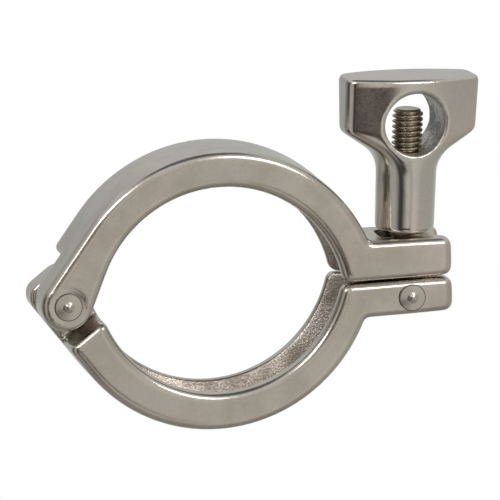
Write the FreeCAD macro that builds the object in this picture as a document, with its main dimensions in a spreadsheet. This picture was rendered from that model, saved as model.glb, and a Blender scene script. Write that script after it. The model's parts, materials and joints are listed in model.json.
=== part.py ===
"""Sanitary hinged clamp: two cast half rings that close on a pair of flanged tube ends.

Frame: millimetres, the clamp axis along Y, Z up.  The hinge is at -X, the ears and the swing bolt at +X.
The clamp stands closed with nothing in it, so its ears meet and the two half rings lean inwards about the
hinge pin.

Each half ring is drawn about its own flange centre with the hinge pin on its own X axis, and its Placement
then leans it about the hinge pin.  The swing bolt and the wing nut are drawn upright about the bolt pin.
"""
import FreeCAD
import Part
import Sketcher
import math
import os

SIZES = {
    # half rings
    "band_width": 20.0,          # along the clamp axis
    "band_depth": 9.45,          # from the lips to the outside of the band
    "lower_outer_shift": 1.1,    # of the lower half's outer circle, towards the hinge
    "lip_radius": 32.65,         # crest of the two lips
    "groove_depth": 6.55,        # from the lips to the floor of the groove that draws the flanges together
    "groove_floor_width": 8.0,
    "groove_flank_angle": 20.0,
    "groove_sweep_angle": 156.0, # of the groove, from the split line round towards the hinge
    "edge_round": 2.0,           # outside edges of a half ring
    # hinge
    "hinge_stand": 1.55,         # knuckle to lips; with their two radii it places the pin
    "hinge_x": -41.25,           # where the pin stands in the closed clamp
    "hinge_z": -2.05,
    "upper_lean_angle": 5.1,     # closed clamp, from the place where both half rings are concentric
    "lower_lean_angle": 10.8,
    "knuckle_radius": 6.7,       # round end of the upper half, and the width of both arms at the pin
    "tongue_end": 6.4,           # squared end of the lower half, beyond the pin
    "tongue_corner": 4.2,
    "lap_offset": 1.0,           # lap plane, behind the middle of the band
    "lap_gap": 0.3,              # between the two laps
    "shoulder_upper": 9.4,       # shoulders of the half laps, from the pin along the arm
    "shoulder_lower": 9.2,
    "shoulder_round": 1.4,
    "pin_radius": 2.4,           # shank of both rivets
    "pin_clearance": 0.05,       # round the shank, in what turns on it
    "pin_fit": 0.02,             # round the shank, in what it is riveted to
    "hinge_head_radius": 3.75,
    "bolt_head_radius": 3.6,
    "rivet_rim": 0.15,           # upright edge of a rivet head, under its cone
    "rivet_slope_angle": 21.0,   # of the cone
    "rivet_tip_round": 2.6,      # ball that rounds the cone's tip
    "head_gap": 0.1,             # under a rivet head
    "recess_radius": 4.8,        # round the head of the hinge pin
    "recess_depth": 0.5,
    # ears, on both sides of the split line, which runs up from the hinge pin towards +X
    "ear_slope_angle": 1.6,      # of the split line, up towards +X
    "ear_gap": 0.3,
    "ear_tip": 11.25,            # ends of the ears, beyond the bolt pin
    "upper_ear_height": 10.4,    # over the bolt pin
    "upper_ear_taper_angle": 1.05,
    "lower_ear_taper_angle": 0.4,
    "ear_corner": 2.3,
    "ear_root_round": 1.5,
    "upper_split_corner": 2.5,   # inside corners at the split line
    "lower_split_corner": 2.3,
    # swing bolt
    "pivot_stand": 7.5,          # bolt pin beyond the outside of the band, along the split line
    "pivot_depth": 4.5,          # bolt pin below the face of the lower ear
    "pivot_wall": 4.7,           # bolt pin to the underside of the lower ear
    "bolt_lean_angle": 1.5,
    "bolt_radius": 3.97,
    "bolt_length": 47.8,         # bolt pin to tip
    "bolt_tip_chamfer": 0.9,
    "eye_radius": 4.9,
    "eye_width": 8.8,
    "eye_side_gap": 0.3,
    "upper_slot_width": 9.4,
    "upper_slot_back": 6.2,      # root of the ear slots, inwards of the bolt pin
    "lower_slot_back": 6.2,
    # wing nut, heights from the bolt pin
    "nut_bottom": 15.7,
    "nut_turn_angle": 4.5,
    "barrel_radius": 7.65,
    "barrel_top_radius": 7.85,
    "barrel_round": 1.6,
    "neck_round": 8.0,           # concave, from the barrel to the sloping underside of the head
    "head_slope_angle": 33.5,
    "head_corner_height": 42.4,  # where the sloping underside would meet the ends
    "head_top": 56.8,
    "head_half_width": 18.1,
    "head_draft_angle": 1.2,
    "head_thickness": 15.8,
    "head_end_thickness": 8.4,
    "head_end_round": 3.0,
    "head_under_round": 2.0,
    "head_edge_round": 1.4,
    "bore_clearance": 0.08,
    "window_radius": 8.05,
    "window_wall": 3.95,         # over the window, up to the top of the head
}

X_AXIS = FreeCAD.Vector(1, 0, 0)
Y_AXIS = FreeCAD.Vector(0, 1, 0)
Z_AXIS = FreeCAD.Vector(0, 0, 1)

# point places and fixed geometry of a sketch, as Sketcher counts them
START, END, CENTRE = 1, 2, 3
ORIGIN = HORIZONTAL = -1
VERTICAL = -2

PLACE_TOLERANCE = 0.01

doc = FreeCAD.newDocument("SanitaryHingedClamp")


# ---------------------------------------------------------------- sheet

def make_sheet():
    """The driving dimensions, one row each: its name in column A, its value in column B."""
    sheet = doc.addObject("Spreadsheet::Sheet", "Sizes")
    for row, (name, value) in enumerate(SIZES.items(), start=1):
        sheet.set(f"A{row}", name)
        sheet.set(f"B{row}", str(value))
        sheet.setAlias(f"B{row}", name)
    doc.recompute()
    return sheet


sheet = make_sheet()


def size(name):
    return float(sheet.get(name))


# ---------------------------------------------------------------- bodies and sketches

def make_body(name):
    body = doc.addObject("PartDesign::Body", name)
    body.Label = name
    return body


def origin_part(body, role):
    return next(item for item in body.Origin.OriginFeatures if item.Role == role)


def make_sketch(body, name, plane="XZ_Plane", lift=None):
    """A sketch on one of the body's own planes.  lift is an expression for its height above the plane."""
    sketch = body.newObject("Sketcher::SketchObject", name)
    sketch.AttachmentSupport = [(origin_part(body, plane), "")]
    sketch.MapMode = "FlatFace"
    if lift:
        sketch.setExpression("AttachmentOffset.Base.z", lift)
    return sketch


def bind(sketch, name, expression, *constraint):
    """Adds a dimension to a sketch and ties it to the sheet."""
    index = sketch.addConstraint(Sketcher.Constraint(*constraint))
    sketch.renameConstraint(index, name)
    sketch.setExpression(f"Constraints.{name}", expression)
    return index


def point(x, y):
    return FreeCAD.Vector(x, y, 0)


def polar(centre, radius, angle):
    return point(centre.x + radius * math.cos(angle), centre.y + radius * math.sin(angle))


def add_line(sketch, start, end):
    return sketch.addGeometry(Part.LineSegment(start, end), False)


def add_arc(sketch, centre, radius, start, end):
    """An arc that runs anticlockwise from the angle start to the angle end, in radians."""
    circle = Part.Circle(centre, Z_AXIS, radius)
    return sketch.addGeometry(Part.ArcOfCircle(circle, start, end), False)


def tangent(sketch, side_a, end_a, side_b, end_b):
    sketch.addConstraint(Sketcher.Constraint("Tangent", side_a, end_a, side_b, end_b))


def join(sketch, side_a, end_a, side_b, end_b):
    sketch.addConstraint(Sketcher.Constraint("Coincident", side_a, end_a, side_b, end_b))


def centre_on_origin(sketch, curve):
    sketch.addConstraint(Sketcher.Constraint("Coincident", curve, CENTRE, ORIGIN, START))


def polygon(sketch, corners):
    """A closed outline of straight sides, in order from the first corner."""
    sides = [add_line(sketch, a, b) for a, b in zip(corners, corners[1:] + corners[:1])]
    for here, after in zip(sides, sides[1:] + sides[:1]):
        join(sketch, here, END, after, START)
    return sides


def orient(sketch, kind, *lines):
    for line in lines:
        sketch.addConstraint(Sketcher.Constraint(kind, line))


def square(sketch, line_a, line_b):
    sketch.addConstraint(Sketcher.Constraint("Perpendicular", line_a, line_b))


def cross_lines(a, alpha, b, beta):
    """Where a line through a at the angle alpha meets one through b at the angle beta."""
    along = ((b.x - a.x) * math.sin(beta) - (b.y - a.y) * math.cos(beta)) / math.sin(beta - alpha)
    return point(a.x + along * math.cos(alpha), a.y + along * math.sin(alpha))


def cross_circle(a, alpha, radius, centre=FreeCAD.Vector(0, 0, 0)):
    """Where a line through a at the angle alpha leaves the circle of this radius, to the right."""
    direction = point(math.cos(alpha), math.sin(alpha))
    foot = (centre - a).dot(direction)
    half_chord = math.sqrt(radius ** 2 - (a + direction * foot - centre).Length ** 2)
    return a + direction * (foot + half_chord)


def angle_of(vector):
    return math.atan2(vector.y, vector.x)


# ---------------------------------------------------------------- features

def add_feature(body, kind, name, sketch, expressions, **settings):
    feature = body.newObject(f"PartDesign::{kind}", name)
    feature.Profile = sketch
    for key, value in settings.items():
        setattr(feature, key, value)
    for key, expression in expressions.items():
        feature.setExpression(key, expression)
    sketch.Visibility = False
    doc.recompute()
    return feature


def pad(body, name, sketch, length, **settings):
    return add_feature(body, "Pad", name, sketch, {"Length": length}, **settings)


def cut_through(body, name, sketch, **settings):
    return add_feature(body, "Pocket", name, sketch, {}, Type="ThroughAll", **settings)


def turn_about(body, kind, name, sketch, axis):
    """A full turn of a section about one of the body's own axes."""
    reference = (origin_part(body, axis), [""])
    return add_feature(body, kind, name, sketch, {}, ReferenceAxis=reference, Angle=360.0)


def edge_names(feature, wanted):
    return [f"Edge{i}" for i, edge in enumerate(feature.Shape.Edges, start=1) if wanted(edge)]


def fillet(body, name, wanted, radius):
    """Rounds the edges of the body's last feature that the test wanted picks."""
    base = body.Tip
    feature = body.newObject("PartDesign::Fillet", name)
    feature.Base = (base, edge_names(base, wanted))
    feature.setExpression("Radius", radius)
    doc.recompute()
    return feature


def runs_across(edge, places):
    """True for a straight edge along Y that passes through one of the places, given in X and Z."""
    if not isinstance(edge.Curve, Part.Line) or abs(edge.tangentAt(edge.FirstParameter).y) < 0.999:
        return False
    middle = edge.CenterOfMass
    return any(math.hypot(middle.x - place.x, middle.z - place.y) < PLACE_TOLERANCE for place in places)


def lies_at_y(edge, y):
    return abs(edge.BoundBox.YMin - y) < PLACE_TOLERANCE and abs(edge.BoundBox.YMax - y) < PLACE_TOLERANCE


# ---------------------------------------------------------------- what the pieces share

# angles of the split line in the frames of the upper half, the lower half and the closed clamp
UPPER_SPLIT = "(Sizes.ear_slope_angle + Sizes.upper_lean_angle) * 1 deg"
LOWER_SPLIT = "(Sizes.ear_slope_angle - Sizes.lower_lean_angle) * 1 deg"
CLOSED_SPLIT = "Sizes.ear_slope_angle * 1 deg"
FACE = "(Sizes.ear_gap / 2)"
# outside of the band and floor of the groove
OUTER_RADIUS = "(Sizes.lip_radius + Sizes.band_depth)"
GROOVE_RADIUS = "(Sizes.lip_radius + Sizes.groove_depth)"
# from the hinge pin: flange centre, and along the split line the bolt pin and the ends of the ears
HINGE_RADIUS = "(Sizes.lip_radius + Sizes.knuckle_radius + Sizes.hinge_stand)"
PIVOT_REACH = f"({HINGE_RADIUS} + {OUTER_RADIUS} + Sizes.pivot_stand)"
EAR_REACH = f"({PIVOT_REACH} + Sizes.ear_tip)"
# the straight outside of each arm touches the outer circle and the knuckle circle
UPPER_ARM = f"asin(({OUTER_RADIUS} - Sizes.knuckle_radius) / {HINGE_RADIUS})"
LOWER_ARM = f"asin(({OUTER_RADIUS} - Sizes.knuckle_radius) / ({HINGE_RADIUS} - Sizes.lower_outer_shift))"
# height of the window's middle over the bolt pin
WINDOW_HEIGHT = "(Sizes.head_top - Sizes.window_wall - Sizes.window_radius)"
# how far a cutting outline stands clear of what it cuts
CLEAR = "Sizes.knuckle_radius"
# the groove is cut from a little inside the lips
GROOVE_MOUTH = "(Sizes.lip_radius * 0.97)"


def now(expression):
    """The number that an expression on the sheet has now."""
    value = sheet.evalExpression(expression)
    return float(getattr(value, "Value", value))


def pivot_across():
    """Height of the bolt pin above the line through the hinge pin that is parallel to the split line."""
    return f"(-{FACE} - Sizes.pivot_depth)"


def from_pin(along, across, angle):
    """Expressions for the X and Z of a place that is measured from the hinge pin along the split line."""
    x = f"({along} * cos({angle}) - {across} * sin({angle}))"
    z = f"({along} * sin({angle}) + {across} * cos({angle}))"
    return x, z


def ring_geometry(split_angle, face, side, shift=0.0):
    """Start places for the outline of a half ring.  side is 1 for the upper half and -1 for the lower.
    shift is how far the outer circle stands from the flange centre, towards the hinge."""
    pin = point(-now(HINGE_RADIUS), 0)
    outer, lip, knuckle = now(OUTER_RADIUS), size("lip_radius"), size("knuckle_radius")
    outer_touch = side * (math.pi - math.acos((outer - knuckle) / (now(HINGE_RADIUS) - shift)))
    inner_touch = side * (math.pi - math.acos((lip + knuckle) / now(HINGE_RADIUS)))
    along = point(math.cos(split_angle), math.sin(split_angle))
    up = point(-math.sin(split_angle), math.cos(split_angle))
    return pin, outer_touch, inner_touch, along, up, pin + up * face


# ---------------------------------------------------------------- upper half

def upper_outline(body):
    sketch = make_sketch(body, "upper_outline")
    split = math.radians(size("ear_slope_angle") + size("upper_lean_angle"))
    face = size("ear_gap") / 2
    pin, outer_touch, inner_touch, along, up, face_start = ring_geometry(split, face, 1)
    outer, lip, knuckle = now(OUTER_RADIUS), size("lip_radius"), size("knuckle_radius")
    inner_corner = cross_circle(face_start, split, lip)
    low_corner = face_start + along * now(EAR_REACH)
    seat = face_start + along * now(PIVOT_REACH) + up * size("upper_ear_height")
    top_angle = split - math.radians(size("upper_ear_taper_angle"))
    high_corner = cross_lines(seat, top_angle, low_corner, split + math.pi / 2)
    root = cross_circle(seat, top_angle, outer)
    opposite = inner_touch - math.pi

    mating = add_line(sketch, inner_corner, low_corner)
    end = add_line(sketch, low_corner, high_corner)
    top = add_line(sketch, high_corner, root)
    band = add_arc(sketch, point(0, 0), outer, angle_of(root), outer_touch)
    outer_line = add_line(sketch, polar(point(0, 0), outer, outer_touch), polar(pin, knuckle, outer_touch))
    end_round = add_arc(sketch, pin, knuckle, outer_touch, opposite + 2 * math.pi)
    inner_line = add_line(sketch, polar(pin, knuckle, opposite), polar(point(0, 0), lip, inner_touch))
    lips = add_arc(sketch, point(0, 0), lip, angle_of(inner_corner), inner_touch)

    join(sketch, mating, END, end, START)
    join(sketch, end, END, top, START)
    join(sketch, top, END, band, START)
    tangent(sketch, band, END, outer_line, START)
    tangent(sketch, outer_line, END, end_round, START)
    tangent(sketch, end_round, END, inner_line, START)
    tangent(sketch, inner_line, END, lips, END)
    join(sketch, lips, START, mating, START)
    centre_on_origin(sketch, band)
    centre_on_origin(sketch, lips)
    sketch.addConstraint(Sketcher.Constraint("PointOnObject", end_round, CENTRE, HORIZONTAL))
    square(sketch, end, mating)
    seat_mark = sketch.addGeometry(Part.Point(seat), True)
    sketch.addConstraint(Sketcher.Constraint("PointOnObject", seat_mark, START, top))
    bind(sketch, "outerRadius", OUTER_RADIUS, "Radius", band, outer)
    bind(sketch, "lipRadius", "Sizes.lip_radius", "Radius", lips, lip)
    bind(sketch, "knuckleRadius", "Sizes.knuckle_radius", "Radius", end_round, knuckle)
    bind(sketch, "hingeRadius", HINGE_RADIUS, "DistanceX", end_round, CENTRE, ORIGIN, START, -pin.x)
    bind(sketch, "splitAngle", UPPER_SPLIT, "Angle", mating, split)
    bind(sketch, "faceOffset", FACE, "Distance", end_round, CENTRE, mating, face)
    bind(sketch, "earReach", EAR_REACH, "Distance", end_round, CENTRE, end, now(EAR_REACH))
    bind(sketch, "earHeight", "Sizes.upper_ear_height", "Distance", seat_mark, START, mating,
         size("upper_ear_height"))
    bind(sketch, "earTip", "Sizes.ear_tip", "Distance", seat_mark, START, end, size("ear_tip"))
    bind(sketch, "taper", f"{UPPER_SPLIT} - Sizes.upper_ear_taper_angle * 1 deg + 180 deg", "Angle", top,
         top_angle + math.pi)
    corners = {"ear": [low_corner, high_corner], "root": [root], "split": [inner_corner]}
    return sketch, corners


def slanted_window(body, name, angle, near, far, low, high, lift=None):
    """A rectangle turned to the angle.  Its sides are signed expressions for distances from the hinge pin."""
    sketch = make_sketch(body, name, lift=lift)
    pin = point(-now(HINGE_RADIUS), 0)
    turn = math.radians(now(angle))
    along = point(math.cos(turn), math.sin(turn))
    up = point(-math.sin(turn), math.cos(turn))
    start = {side: now(side) for side in (near, far, low, high)}
    corners = [pin + along * start[a] + up * start[b]
               for a, b in ((near, low), (far, low), (far, high), (near, high))]
    sides = polygon(sketch, corners)
    for line in (sides[1], sides[3]):
        square(sketch, line, sides[0])
    sketch.addConstraint(Sketcher.Constraint("Parallel", sides[2], sides[0]))
    mark = sketch.addGeometry(Part.Point(pin), True)
    sketch.addConstraint(Sketcher.Constraint("PointOnObject", mark, START, HORIZONTAL))
    bind(sketch, "hingeRadius", HINGE_RADIUS, "DistanceX", mark, START, ORIGIN, START, -pin.x)
    bind(sketch, "turn", angle, "Angle", sides[0], turn)
    for label, line, side in zip(("low", "far", "high", "near"), sides, (low, far, high, near)):
        bind(sketch, label, f"abs({side})", "Distance", mark, START, line, abs(start[side]))
    return sketch


# ---------------------------------------------------------------- half rings

def lower_outline(body):
    sketch = make_sketch(body, "lower_outline")
    split = math.radians(size("ear_slope_angle") - size("lower_lean_angle"))
    face = -size("ear_gap") / 2
    shift = size("lower_outer_shift")
    middle = point(-shift, 0)
    pin, outer_touch, inner_touch, along, up, face_start = ring_geometry(split, face, -1, shift)
    outer, lip, knuckle = now(OUTER_RADIUS), size("lip_radius"), size("knuckle_radius")
    under = split + math.radians(size("lower_ear_taper_angle"))
    pivot = face_start + along * now(PIVOT_REACH) - up * size("pivot_depth")
    below_pivot = pivot + polar(point(0, 0), size("pivot_wall"), under - math.pi / 2)
    inner_corner = cross_circle(face_start, split, lip)
    high_corner = face_start + along * now(EAR_REACH)
    low_corner = cross_lines(below_pivot, under, high_corner, split + math.pi / 2)
    root = cross_circle(below_pivot, under, outer, middle)
    arm = outer_touch + math.pi / 2
    outer_start = polar(pin, knuckle, outer_touch)
    inner_start = polar(pin, knuckle, inner_touch - math.pi)
    tongue_face = polar(pin, size("tongue_end"), arm + math.pi)
    inner_tip = cross_lines(inner_start, inner_touch + math.pi / 2, tongue_face, arm + math.pi / 2)
    outer_tip = cross_lines(outer_start, arm, tongue_face, arm + math.pi / 2)

    mating = add_line(sketch, high_corner, inner_corner)
    lips = add_arc(sketch, point(0, 0), lip, inner_touch, angle_of(inner_corner))
    inner_line = add_line(sketch, polar(point(0, 0), lip, inner_touch), inner_tip)
    tip = add_line(sketch, inner_tip, outer_tip)
    outer_line = add_line(sketch, outer_tip, polar(middle, outer, outer_touch))
    band = add_arc(sketch, middle, outer, outer_touch, angle_of(root - middle))
    underside = add_line(sketch, root, low_corner)
    end = add_line(sketch, low_corner, high_corner)
    knuckle_circle = sketch.addGeometry(Part.Circle(pin, Z_AXIS, knuckle), True)
    pivot_mark = sketch.addGeometry(Part.Point(pivot), True)

    join(sketch, mating, END, lips, END)
    tangent(sketch, lips, START, inner_line, START)
    join(sketch, inner_line, END, tip, START)
    join(sketch, tip, END, outer_line, START)
    tangent(sketch, outer_line, END, band, START)
    join(sketch, band, END, underside, START)
    join(sketch, underside, END, end, START)
    join(sketch, end, END, mating, START)
    sketch.addConstraint(Sketcher.Constraint("PointOnObject", band, CENTRE, HORIZONTAL))
    centre_on_origin(sketch, lips)
    sketch.addConstraint(Sketcher.Constraint("PointOnObject", knuckle_circle, CENTRE, HORIZONTAL))
    sketch.addConstraint(Sketcher.Constraint("Tangent", knuckle_circle, inner_line))
    sketch.addConstraint(Sketcher.Constraint("Tangent", knuckle_circle, outer_line))
    square(sketch, tip, outer_line)
    square(sketch, end, mating)
    bind(sketch, "outerRadius", OUTER_RADIUS, "Radius", band, outer)
    bind(sketch, "outerShift", "Sizes.lower_outer_shift", "DistanceX", band, CENTRE, ORIGIN, START, shift)
    bind(sketch, "lipRadius", "Sizes.lip_radius", "Radius", lips, lip)
    bind(sketch, "knuckleRadius", "Sizes.knuckle_radius", "Radius", knuckle_circle, knuckle)
    bind(sketch, "hingeRadius", HINGE_RADIUS, "DistanceX", knuckle_circle, CENTRE, ORIGIN, START, -pin.x)
    bind(sketch, "splitAngle", LOWER_SPLIT + " + 180 deg", "Angle", mating, split + math.pi)
    bind(sketch, "faceOffset", FACE, "Distance", knuckle_circle, CENTRE, mating, -face)
    bind(sketch, "earReach", EAR_REACH, "Distance", knuckle_circle, CENTRE, end, now(EAR_REACH))
    bind(sketch, "tongueEnd", "Sizes.tongue_end", "Distance", knuckle_circle, CENTRE, tip, size("tongue_end"))
    bind(sketch, "pivotDepth", "Sizes.pivot_depth", "Distance", pivot_mark, START, mating,
         size("pivot_depth"))
    bind(sketch, "earTip", "Sizes.ear_tip", "Distance", pivot_mark, START, end, size("ear_tip"))
    bind(sketch, "pivotWall", "Sizes.pivot_wall", "Distance", pivot_mark, START, underside,
         size("pivot_wall"))
    bind(sketch, "taper", LOWER_SPLIT + " + Sizes.lower_ear_taper_angle * 1 deg", "Angle", underside, under)
    corners = {"ear": [low_corner, high_corner], "root": [root], "split": [inner_corner],
               "tongue": [inner_tip, outer_tip]}
    return sketch, corners


def cut_lap(body, arm_angle, shoulder, lift, reverse):
    """Takes away one side of the arm round the hinge pin and leaves a flat shoulder."""
    clear = f"Sizes.knuckle_radius + {CLEAR}"
    outline = slanted_window(body, "lap_outline", arm_angle, near=f"-({clear})", far=shoulder,
                             low=f"-({clear})", high=clear, lift=lift)
    return cut_through(body, "lap", outline, Reversed=reverse)


def cut_hole(body, name, radius, x, z, reverse=None, lift=None):
    """A round hole along Y: right through without reverse, and from its plane to one face with it."""
    sketch = make_sketch(body, f"{name}_outline", lift=lift)
    centre = point(now(x), now(z))
    circle = sketch.addGeometry(Part.Circle(centre, Z_AXIS, 1.0), False)
    bind(sketch, "radius", radius, "Radius", circle, 1.0)
    bind_place(sketch, circle, centre, x, z)
    if reverse is None:
        return cut_through(body, name, sketch, Midplane=True)
    return cut_through(body, name, sketch, Reversed=reverse)


def bind_place(sketch, curve, centre, x, z):
    """Ties the centre of a curve to expressions for its place, whose signs stay as they are now."""
    for axis, value, expression in (("X", centre.x, x), ("Y", centre.y, z)):
        if value < 0:
            bind(sketch, f"place{axis}", f"-({expression})", f"Distance{axis}",
                 curve, CENTRE, ORIGIN, START, -value)
        elif value > 0:
            bind(sketch, f"place{axis}", expression, f"Distance{axis}",
                 ORIGIN, START, curve, CENTRE, value)
        else:
            index = HORIZONTAL if axis == "Y" else VERTICAL
            sketch.addConstraint(Sketcher.Constraint("PointOnObject", curve, CENTRE, index))


def cut_groove(body, side):
    """The flange groove: a floor with two sloping flanks, turned about the clamp axis from the split line."""
    sketch = make_sketch(body, "groove_outline", "XY_Plane")
    lip, floor = now(GROOVE_MOUTH), now(GROOVE_RADIUS)
    half_floor = size("groove_floor_width") / 2
    half_mouth = half_floor + (floor - lip) * math.tan(math.radians(size("groove_flank_angle")))
    corners = [point(floor, -half_floor), point(floor, half_floor),
               point(lip, half_mouth), point(lip, -half_mouth)]
    bottom, back, mouth, front = [add_line(sketch, a, b) for a, b in zip(corners, corners[1:] + corners[:1])]
    for here, after in ((bottom, back), (back, mouth), (mouth, front), (front, bottom)):
        join(sketch, here, END, after, START)
    sketch.addConstraint(Sketcher.Constraint("Symmetric", bottom, START, bottom, END, HORIZONTAL))
    sketch.addConstraint(Sketcher.Constraint("Symmetric", mouth, START, mouth, END, HORIZONTAL))
    bind(sketch, "floorRadius", GROOVE_RADIUS, "DistanceX", ORIGIN, START, bottom, START, floor)
    bind(sketch, "mouthRadius", GROOVE_MOUTH, "DistanceX", ORIGIN, START, mouth, START, lip)
    bind(sketch, "floorWidth", "Sizes.groove_floor_width", "DistanceY", bottom, START, bottom, END,
         2 * half_floor)
    bind(sketch, "mouthWidth",
         f"Sizes.groove_floor_width + 2 * ({GROOVE_RADIUS} - {GROOVE_MOUTH})"
         " * tan(Sizes.groove_flank_angle * 1 deg)",
         "DistanceY", mouth, END, mouth, START, 2 * half_mouth)
    return add_feature(body, "Groove", "flange_groove", sketch,
                       {"Angle": "Sizes.groove_sweep_angle * 1 deg"},
                       ReferenceAxis=(origin_part(body, "Y_Axis"), [""]), Reversed=side > 0)


def cut_ear_slot(body, angle, width, back, below, above):
    """The slot of the swing bolt, open at the end of the ear."""
    window = slanted_window(body, "bolt_slot_outline", angle, near=f"{PIVOT_REACH} - {back}",
                            far=f"{EAR_REACH} + {CLEAR}", low=below, high=above)
    return add_feature(body, "Pocket", "bolt_slot", window, {"Length": width}, Midplane=True)


def lean_about_hinge(body, lean):
    """Stands the half ring in the closed clamp, leant about the hinge pin."""
    turn = f"{lean} * 1 deg"
    body.setExpression("Placement", (
        f"placement(vector(Sizes.hinge_x + {HINGE_RADIUS} * cos({turn}); 0;"
        f" Sizes.hinge_z - {HINGE_RADIUS} * sin({turn})); rotation(vector(0; 1; 0); {turn}))"
    ))
    doc.recompute()


def round_shoulder(body, arm_angle, shoulder):
    """Rounds the outline of the shoulder, from the lap round the outside of the arm and back to the lap."""
    pin = point(-now(HINGE_RADIUS), 0)
    turn = math.radians(now(arm_angle))
    reach = size(shoulder)

    def on_shoulder(edge):
        places = [place - pin for place in edge.discretize(5)]
        level = all(abs(place.x * math.cos(turn) + place.z * math.sin(turn) - reach) < PLACE_TOLERANCE
                    for place in places)
        at_face = lies_at_y(edge, -size("band_width") / 2) or lies_at_y(edge, size("band_width") / 2)
        at_lap = edge.BoundBox.YLength < PLACE_TOLERANCE and not at_face
        return level and not at_lap

    return fillet(body, "shoulder_round", on_shoulder, "Sizes.shoulder_round")


def round_rims(body):
    half_width = size("band_width") / 2
    fillet(body, "rims", lambda edge: lies_at_y(edge, -half_width) or lies_at_y(edge, half_width),
           "Sizes.edge_round")


def upper_half():
    body = make_body("upper_half")
    outline, corners = upper_outline(body)
    pad(body, "casting", outline, "Sizes.band_width", Midplane=True)
    for kind, radius in (("ear", "ear_corner"), ("root", "ear_root_round"), ("split", "upper_split_corner")):
        fillet(body, f"{kind}_round", lambda edge: runs_across(edge, corners[kind]), f"Sizes.{radius}")
    round_rims(body)
    cut_lap(body, UPPER_ARM, "Sizes.shoulder_upper", "-Sizes.lap_offset", False)
    round_shoulder(body, UPPER_ARM, "shoulder_upper")
    cut_groove(body, 1)
    cut_ear_slot(body, UPPER_SPLIT, "Sizes.upper_slot_width", "Sizes.upper_slot_back", f"-{CLEAR}",
                 f"Sizes.upper_ear_height + {CLEAR}")
    cut_hole(body, "pin_hole", "Sizes.pin_radius + Sizes.pin_clearance", f"-{HINGE_RADIUS}", "0")
    cut_hole(body, "head_recess", "Sizes.recess_radius", f"-{HINGE_RADIUS}", "0", reverse=True,
             lift="Sizes.band_width / 2 - Sizes.recess_depth")
    lean_about_hinge(body, "Sizes.upper_lean_angle")
    return body


def lower_half():
    body = make_body("lower_half")
    outline, corners = lower_outline(body)
    pad(body, "casting", outline, "Sizes.band_width", Midplane=True)
    for kind, radius in (("ear", "ear_corner"), ("root", "ear_root_round"), ("split", "lower_split_corner"),
                         ("tongue", "tongue_corner")):
        fillet(body, f"{kind}_round", lambda edge: runs_across(edge, corners[kind]), f"Sizes.{radius}")
    round_rims(body)
    cut_lap(body, f"-{LOWER_ARM}", "Sizes.shoulder_lower", "-(Sizes.lap_offset + Sizes.lap_gap)", True)
    round_shoulder(body, f"-{LOWER_ARM}", "shoulder_lower")
    cut_groove(body, -1)
    cut_ear_slot(body, LOWER_SPLIT, "Sizes.eye_width + 2 * Sizes.eye_side_gap", "Sizes.lower_slot_back",
                 f"-(Sizes.pivot_depth + Sizes.pivot_wall + {CLEAR})", CLEAR)
    cut_hole(body, "hinge_hole", "Sizes.pin_radius + Sizes.pin_fit", f"-{HINGE_RADIUS}", "0")
    x, z = from_pin(PIVOT_REACH, pivot_across(), LOWER_SPLIT)
    cut_hole(body, "bolt_hole", "Sizes.pin_radius + Sizes.pin_fit", f"{x} - {HINGE_RADIUS}", z)
    lean_about_hinge(body, "-Sizes.lower_lean_angle")
    return body


# ---------------------------------------------------------------- rivets

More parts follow.
